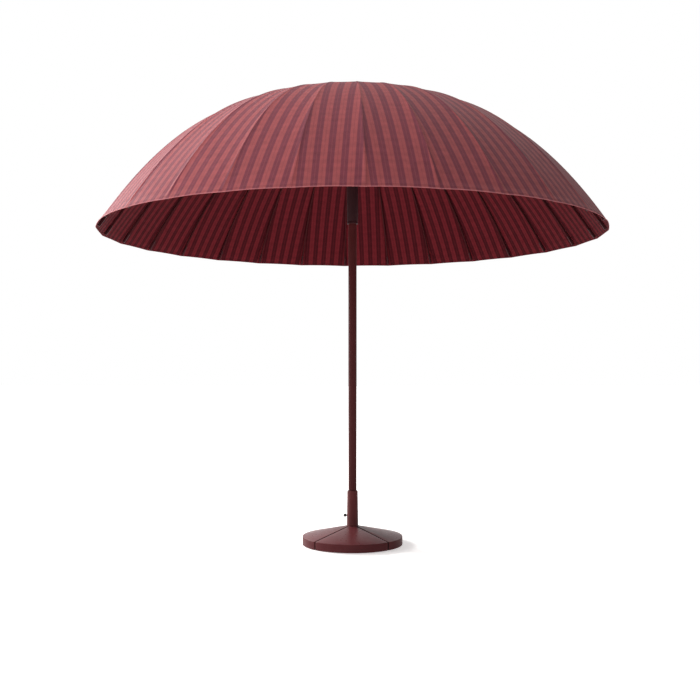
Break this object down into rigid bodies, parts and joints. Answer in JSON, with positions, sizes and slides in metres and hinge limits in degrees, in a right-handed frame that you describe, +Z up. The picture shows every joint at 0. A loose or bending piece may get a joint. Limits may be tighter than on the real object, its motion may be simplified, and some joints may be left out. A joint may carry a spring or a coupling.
{
  "type": "patio umbrella with base",
  "caption": "Domed patio umbrella on a central pole, with a ribbed folding canopy in striped cloth and a round base of four weights.",
  "frame": {"origin": "on the floor, at the middle of the round base", "axes": "+Z up along the pole, the front of the umbrella towards -Y, the clamp knob on the -X side"},
  "size_m": [2.9934, 2.9934, 2.674],
  "materials": {
    "cloth": "matte",
    "pole_paint": "satin",
    "runner_paint": "satin",
    "base_paint": "satin",
    "socket_paint": "satin",
    "rib_glass_fibre": "satin",
    "black_plastic": "satin",
    "bare_steel": "satin",
    "rubber": "matte"
  },
  "bodies": {
    "base": {"base_plate": "socket_paint", "base_pad_ring": "rubber", "socket": "socket_paint", "pole_bush": "black_plastic"},
    "pole_foot": {"pole_foot": "black_plastic"},
    "pole": {"pole": "pole_paint", "hub": "black_plastic", "rib_ring": "bare_steel", "canopy": "cloth"},
    "runner": {"runner": "runner_paint", "strut_ring": "bare_steel"},
    "lock_pin": {"lock_pin": "bare_steel"},
    "clamp_screw": {"clamp_screw": "bare_steel", "clamp_knob": "black_plastic"},
    "base_weight_front": {"base_weight_front": "base_paint"},
    "base_weight_right": {"base_weight_right": "base_paint"},
    "base_weight_back": {"base_weight_back": "base_paint"},
    "base_weight_left": {"base_weight_left": "base_paint"},
    "rib_01": {"rib_01": "rib_glass_fibre"},
    "rib_02": {"rib_02": "rib_glass_fibre"},
    "rib_03": {"rib_03": "rib_glass_fibre"},
    "rib_04": {"rib_04": "rib_glass_fibre"},
    "rib_05": {"rib_05": "rib_glass_fibre"},
    "rib_06": {"rib_06": "rib_glass_fibre"},
    "rib_07": {"rib_07": "rib_glass_fibre"},
    "rib_08": {"rib_08": "rib_glass_fibre"},
    "rib_09": {"rib_09": "rib_glass_fibre"},
    "rib_10": {"rib_10": "rib_glass_fibre"},
    "rib_11": {"rib_11": "rib_glass_fibre"},
    "rib_12": {"rib_12": "rib_glass_fibre"},
    "rib_13": {"rib_13": "rib_glass_fibre"},
    "rib_14": {"rib_14": "rib_glass_fibre"},
    "rib_15": {"rib_15": "rib_glass_fibre"},
    "rib_16": {"rib_16": "rib_glass_fibre"},
    "rib_17": {"rib_17": "rib_glass_fibre"},
    "rib_18": {"rib_18": "rib_glass_fibre"},
    "rib_19": {"rib_19": "rib_glass_fibre"},
    "rib_20": {"rib_20": "rib_glass_fibre"},
    "rib_21": {"rib_21": "rib_glass_fibre"},
    "rib_22": {"rib_22": "rib_glass_fibre"},
    "rib_23": {"rib_23": "rib_glass_fibre"},
    "rib_24": {"rib_24": "rib_glass_fibre"},
    "rib_25": {"rib_25": "rib_glass_fibre"},
    "rib_26": {"rib_26": "rib_glass_fibre"},
    "rib_27": {"rib_27": "rib_glass_fibre"},
    "rib_28": {"rib_28": "rib_glass_fibre"},
    "strut_01": {"strut_01": "rib_glass_fibre"},
    "strut_03": {"strut_03": "rib_glass_fibre"},
    "strut_05": {"strut_05": "rib_glass_fibre"},
    "strut_07": {"strut_07": "rib_glass_fibre"},
    "strut_09": {"strut_09": "rib_glass_fibre"},
    "strut_11": {"strut_11": "rib_glass_fibre"},
    "strut_13": {"strut_13": "rib_glass_fibre"},
    "strut_15": {"strut_15": "rib_glass_fibre"},
    "strut_17": {"strut_17": "rib_glass_fibre"},
    "strut_19": {"strut_19": "rib_glass_fibre"},
    "strut_21": {"strut_21": "rib_glass_fibre"},
    "strut_23": {"strut_23": "rib_glass_fibre"},
    "strut_25": {"strut_25": "rib_glass_fibre"},
    "strut_27": {"strut_27": "rib_glass_fibre"}
  },
  "joints": [
    {"name": "pole_lift", "type": "slide", "parent": "base", "child": "pole_foot", "axis": [0, 0, 1], "range_m": [0, 0.32]},
    {"name": "pole_turn", "type": "hinge", "parent": "pole_foot", "child": "pole", "pos_m": [0, 0, 0], "axis": [0, 0, 1], "continuous": true},
    {"name": "canopy_fold", "type": "slide", "parent": "pole", "child": "runner", "axis": [0, 0, -1], "range_m": [0, 0.4504], "deforming": ["canopy"]},
    {"name": "lock_pin_pull", "type": "slide", "parent": "runner", "child": "lock_pin", "axis": [0, 1, 0], "range_m": [0, 0.008], "stiffness_N_per_m": 400},
    {"name": "clamp_screw_out", "type": "slide", "parent": "base", "child": "clamp_screw", "axis": [-1, 0, 0], "range_m": [0, 0.008]},
    {"name": "base_weight_front_out", "type": "slide", "parent": "base", "child": "base_weight_front", "axis": [0, -1, 0], "range_m": [0, 0.25]},
    {"name": "base_weight_right_out", "type": "slide", "parent": "base", "child": "base_weight_right", "axis": [1, 0, 0], "range_m": [0, 0.25]},
    {"name": "base_weight_back_out", "type": "slide", "parent": "base", "child": "base_weight_back", "axis": [0, 1, 0], "range_m": [0, 0.25]},
    {"name": "base_weight_left_out", "type": "slide", "parent": "base", "child": "base_weight_left", "axis": [-1, 0, 0], "range_m": [0, 0.25]},
    {"name": "rib_01_fold", "type": "hinge", "parent": "pole", "child": "rib_01", "pos_m": [0.00411, -0.06181, 2.66438], "axis": [0.9978, 0.0663, 0], "range_deg": [0, 58.2]},
    {"name": "rib_02_fold", "type": "hinge", "parent": "pole", "child": "rib_02", "pos_m": [0.01776, -0.05935, 2.66438], "axis": [0.958, 0.2866, 0], "range_deg": [0, 58.2]},
    {"name": "rib_03_fold", "type": "hinge", "parent": "pole", "child": "rib_03", "pos_m": [0.03052, -0.05391, 2.66438], "axis": [0.8702, 0.4926, 0], "range_deg": [0, 58.2]},
    {"name": "rib_04_fold", "type": "hinge", "parent": "pole", "child": "rib_04", "pos_m": [0.04175, -0.04577, 2.66438], "axis": [0.7388, 0.6739, 0], "range_deg": [0, 58.2]},
    {"name": "rib_05_fold", "type": "hinge", "parent": "pole", "child": "rib_05", "pos_m": [0.05089, -0.03533, 2.66438], "axis": [0.5703, 0.8214, 0], "range_deg": [0, 58.2]},
    {"name": "rib_06_fold", "type": "hinge", "parent": "pole", "child": "rib_06", "pos_m": [0.05747, -0.02312, 2.66438], "axis": [0.3732, 0.9277, 0], "range_deg": [0, 58.2]},
    {"name": "rib_07_fold", "type": "hinge", "parent": "pole", "child": "rib_07", "pos_m": [0.06118, -0.00975, 2.66438], "axis": [0.1574, 0.9875, 0], "range_deg": [0, 58.2]},
    {"name": "rib_08_fold", "type": "hinge", "parent": "pole", "child": "rib_08", "pos_m": [0.06181, 0.00411, 2.66438], "axis": [-0.0663, 0.9978, 0], "range_deg": [0, 58.2]},
    {"name": "rib_09_fold", "type": "hinge", "parent": "pole", "child": "rib_09", "pos_m": [0.05935, 0.01776, 2.66438], "axis": [-0.2866, 0.958, 0], "range_deg": [0, 58.2]},
    {"name": "rib_10_fold", "type": "hinge", "parent": "pole", "child": "rib_10", "pos_m": [0.05391, 0.03052, 2.66438], "axis": [-0.4926, 0.8702, 0], "range_deg": [0, 58.2]},
    {"name": "rib_11_fold", "type": "hinge", "parent": "pole", "child": "rib_11", "pos_m": [0.04577, 0.04175, 2.66438], "axis": [-0.6739, 0.7388, 0], "range_deg": [0, 58.2]},
    {"name": "rib_12_fold", "type": "hinge", "parent": "pole", "child": "rib_12", "pos_m": [0.03533, 0.05089, 2.66438], "axis": [-0.8214, 0.5703, 0], "range_deg": [0, 58.2]},
    {"name": "rib_13_fold", "type": "hinge", "parent": "pole", "child": "rib_13", "pos_m": [0.02312, 0.05747, 2.66438], "axis": [-0.9277, 0.3732, 0], "range_deg": [0, 58.2]},
    {"name": "rib_14_fold", "type": "hinge", "parent": "pole", "child": "rib_14", "pos_m": [0.00975, 0.06118, 2.66438], "axis": [-0.9875, 0.1574, 0], "range_deg": [0, 58.2]},
    {"name": "rib_15_fold", "type": "hinge", "parent": "pole", "child": "rib_15", "pos_m": [-0.00411, 0.06181, 2.66438], "axis": [-0.9978, -0.0663, 0], "range_deg": [0, 58.2]},
    {"name": "rib_16_fold", "type": "hinge", "parent": "pole", "child": "rib_16", "pos_m": [-0.01776, 0.05935, 2.66438], "axis": [-0.958, -0.2866, 0], "range_deg": [0, 58.2]},
    {"name": "rib_17_fold", "type": "hinge", "parent": "pole", "child": "rib_17", "pos_m": [-0.03052, 0.05391, 2.66438], "axis": [-0.8702, -0.4926, 0], "range_deg": [0, 58.2]},
    {"name": "rib_18_fold", "type": "hinge", "parent": "pole", "child": "rib_18", "pos_m": [-0.04175, 0.04577, 2.66438], "axis": [-0.7388, -0.6739, 0], "range_deg": [0, 58.2]},
    {"name": "rib_19_fold", "type": "hinge", "parent": "pole", "child": "rib_19", "pos_m": [-0.05089, 0.03533, 2.66438], "axis": [-0.5703, -0.8214, 0], "range_deg": [0, 58.2]},
    {"name": "rib_20_fold", "type": "hinge", "parent": "pole", "child": "rib_20", "pos_m": [-0.05747, 0.02312, 2.66438], "axis": [-0.3732, -0.9277, 0], "range_deg": [0, 58.2]},
    {"name": "rib_21_fold", "type": "hinge", "parent": "pole", "child": "rib_21", "pos_m": [-0.06118, 0.00975, 2.66438], "axis": [-0.1574, -0.9875, 0], "range_deg": [0, 58.2]},
    {"name": "rib_22_fold", "type": "hinge", "parent": "pole", "child": "rib_22", "pos_m": [-0.06181, -0.00411, 2.66438], "axis": [0.0663, -0.9978, 0], "range_deg": [0, 58.2]},
    {"name": "rib_23_fold", "type": "hinge", "parent": "pole", "child": "rib_23", "pos_m": [-0.05935, -0.01776, 2.66438], "axis": [0.2866, -0.958, 0], "range_deg": [0, 58.2]},
    {"name": "rib_24_fold", "type": "hinge", "parent": "pole", "child": "rib_24", "pos_m": [-0.05391, -0.03052, 2.66438], "axis": [0.4926, -0.8702, 0], "range_deg": [0, 58.2]},
    {"name": "rib_25_fold", "type": "hinge", "parent": "pole", "child": "rib_25", "pos_m": [-0.04577, -0.04175, 2.66438], "axis": [0.6739, -0.7388, 0], "range_deg": [0, 58.2]},
    {"name": "rib_26_fold", "type": "hinge", "parent": "pole", "child": "rib_26", "pos_m": [-0.03533, -0.05089, 2.66438], "axis": [0.8214, -0.5703, 0], "range_deg": [0, 58.2]},
    {"name": "rib_27_fold", "type": "hinge", "parent": "pole", "child": "rib_27", "pos_m": [-0.02312, -0.05747, 2.66438], "axis": [0.9277, -0.3732, 0], "range_deg": [0, 58.2]},
    {"name": "rib_28_fold", "type": "hinge", "parent": "pole", "child": "rib_28", "pos_m": [-0.00975, -0.06118, 2.66438], "axis": [0.9875, -0.1574, 0], "range_deg": [0, 58.2]},
    {"name": "strut_01_turn", "type": "hinge", "parent": "runner", "child": "strut_01", "pos_m": [0.01049, -0.04479, 2.25238], "axis": [-0.9978, -0.0663, 0], "range_deg": [0, 26.42]},
    {"name": "strut_03_turn", "type": "hinge", "parent": "runner", "child": "strut_03", "pos_m": [0.02889, -0.0358, 2.25238], "axis": [-0.8702, -0.4926, 0], "range_deg": [0, 26.42]},
    {"name": "strut_05_turn", "type": "hinge", "parent": "runner", "child": "strut_05", "pos_m": [0.04156, -0.01972, 2.25238], "axis": [-0.5703, -0.8214, 0], "range_deg": [0, 26.42]},
    {"name": "strut_07_turn", "type": "hinge", "parent": "runner", "child": "strut_07", "pos_m": [0.046, 0.00026, 2.25238], "axis": [-0.1574, -0.9875, 0], "range_deg": [0, 26.42]},
    {"name": "strut_09_turn", "type": "hinge", "parent": "runner", "child": "strut_09", "pos_m": [0.04133, 0.02019, 2.25238], "axis": [0.2866, -0.958, 0], "range_deg": [0, 26.42]},
    {"name": "strut_11_turn", "type": "hinge", "parent": "runner", "child": "strut_11", "pos_m": [0.02848, 0.03613, 2.25238], "axis": [0.6739, -0.7388, 0], "range_deg": [0, 26.42]},
    {"name": "strut_13_turn", "type": "hinge", "parent": "runner", "child": "strut_13", "pos_m": [0.00998, 0.0449, 2.25238], "axis": [0.9277, -0.3732, 0], "range_deg": [0, 26.42]},
    {"name": "strut_15_turn", "type": "hinge", "parent": "runner", "child": "strut_15", "pos_m": [-0.01049, 0.04479, 2.25238], "axis": [0.9978, 0.0663, 0], "range_deg": [0, 26.42]},
    {"name": "strut_17_turn", "type": "hinge", "parent": "runner", "child": "strut_17", "pos_m": [-0.02889, 0.0358, 2.25238], "axis": [0.8702, 0.4926, 0], "range_deg": [0, 26.42]},
    {"name": "strut_19_turn", "type": "hinge", "parent": "runner", "child": "strut_19", "pos_m": [-0.04156, 0.01972, 2.25238], "axis": [0.5703, 0.8214, 0], "range_deg": [0, 26.42]},
    {"name": "strut_21_turn", "type": "hinge", "parent": "runner", "child": "strut_21", "pos_m": [-0.046, -0.00026, 2.25238], "axis": [0.1574, 0.9875, 0], "range_deg": [0, 26.42]},
    {"name": "strut_23_turn", "type": "hinge", "parent": "runner", "child": "strut_23", "pos_m": [-0.04133, -0.02019, 2.25238], "axis": [-0.2866, 0.958, 0], "range_deg": [0, 26.42]},
    {"name": "strut_25_turn", "type": "hinge", "parent": "runner", "child": "strut_25", "pos_m": [-0.02848, -0.03613, 2.25238], "axis": [-0.6739, 0.7388, 0], "range_deg": [0, 26.42]},
    {"name": "strut_27_turn", "type": "hinge", "parent": "runner", "child": "strut_27", "pos_m": [-0.00998, -0.0449, 2.25238], "axis": [-0.9277, 0.3732, 0], "range_deg": [0, 26.42]}
  ],
  "couplings": [
    {"joint": "rib_01_fold", "follows": "canopy_fold", "rad_per_m": 2.2475},
    {"joint": "rib_02_fold", "follows": "canopy_fold", "rad_per_m": 2.2475},
    {"joint": "rib_03_fold", "follows": "canopy_fold", "rad_per_m": 2.2475},
    {"joint": "rib_04_fold", "follows": "canopy_fold", "rad_per_m": 2.2475},
    {"joint": "rib_05_fold", "follows": "canopy_fold", "rad_per_m": 2.2475},
    {"joint": "rib_06_fold", "follows": "canopy_fold", "rad_per_m": 2.2475},
    {"joint": "rib_07_fold", "follows": "canopy_fold", "rad_per_m": 2.2475},
    {"joint": "rib_08_fold", "follows": "canopy_fold", "rad_per_m": 2.2475},
    {"joint": "rib_09_fold", "follows": "canopy_fold", "rad_per_m": 2.2475},
    {"joint": "rib_10_fold", "follows": "canopy_fold", "rad_per_m": 2.2475},
    {"joint": "rib_11_fold", "follows": "canopy_fold", "rad_per_m": 2.2475},
    {"joint": "rib_12_fold", "follows": "canopy_fold", "rad_per_m": 2.2475},
    {"joint": "rib_13_fold", "follows": "canopy_fold", "rad_per_m": 2.2475},
    {"joint": "rib_14_fold", "follows": "canopy_fold", "rad_per_m": 2.2475},
    {"joint": "rib_15_fold", "follows": "canopy_fold", "rad_per_m": 2.2475},
    {"joint": "rib_16_fold", "follows": "canopy_fold", "rad_per_m": 2.2475},
    {"joint": "rib_17_fold", "follows": "canopy_fold", "rad_per_m": 2.2475},
    {"joint": "rib_18_fold", "follows": "canopy_fold", "rad_per_m": 2.2475},
    {"joint": "rib_19_fold", "follows": "canopy_fold", "rad_per_m": 2.2475},
    {"joint": "rib_20_fold", "follows": "canopy_fold", "rad_per_m": 2.2475},
    {"joint": "rib_21_fold", "follows": "canopy_fold", "rad_per_m": 2.2475},
    {"joint": "rib_22_fold", "follows": "canopy_fold", "rad_per_m": 2.2475},
    {"joint": "rib_23_fold", "follows": "canopy_fold", "rad_per_m": 2.2475},
    {"joint": "rib_24_fold", "follows": "canopy_fold", "rad_per_m": 2.2475},
    {"joint": "rib_25_fold", "follows": "canopy_fold", "rad_per_m": 2.2475},
    {"joint": "rib_26_fold", "follows": "canopy_fold", "rad_per_m": 2.2475},
    {"joint": "rib_27_fold", "follows": "canopy_fold", "rad_per_m": 2.2475},
    {"joint": "rib_28_fold", "follows": "canopy_fold", "rad_per_m": 2.2475},
    {"joint": "strut_01_turn", "follows": "canopy_fold", "rad_per_m": 1.0161},
    {"joint": "strut_03_turn", "follows": "canopy_fold", "rad_per_m": 1.0161},
    {"joint": "strut_05_turn", "follows": "canopy_fold", "rad_per_m": 1.0161},
    {"joint": "strut_07_turn", "follows": "canopy_fold", "rad_per_m": 1.0161},
    {"joint": "strut_09_turn", "follows": "canopy_fold", "rad_per_m": 1.0161},
    {"joint": "strut_11_turn", "follows": "canopy_fold", "rad_per_m": 1.0161},
    {"joint": "strut_13_turn", "follows": "canopy_fold", "rad_per_m": 1.0161},
    {"joint": "strut_15_turn", "follows": "canopy_fold", "rad_per_m": 1.0161},
    {"joint": "strut_17_turn", "follows": "canopy_fold", "rad_per_m": 1.0161},
    {"joint": "strut_19_turn", "follows": "canopy_fold", "rad_per_m": 1.0161},
    {"joint": "strut_21_turn", "follows": "canopy_fold", "rad_per_m": 1.0161},
    {"joint": "strut_23_turn", "follows": "canopy_fold", "rad_per_m": 1.0161},
    {"joint": "strut_25_turn", "follows": "canopy_fold", "rad_per_m": 1.0161},
    {"joint": "strut_27_turn", "follows": "canopy_fold", "rad_per_m": 1.0161}
  ]
}
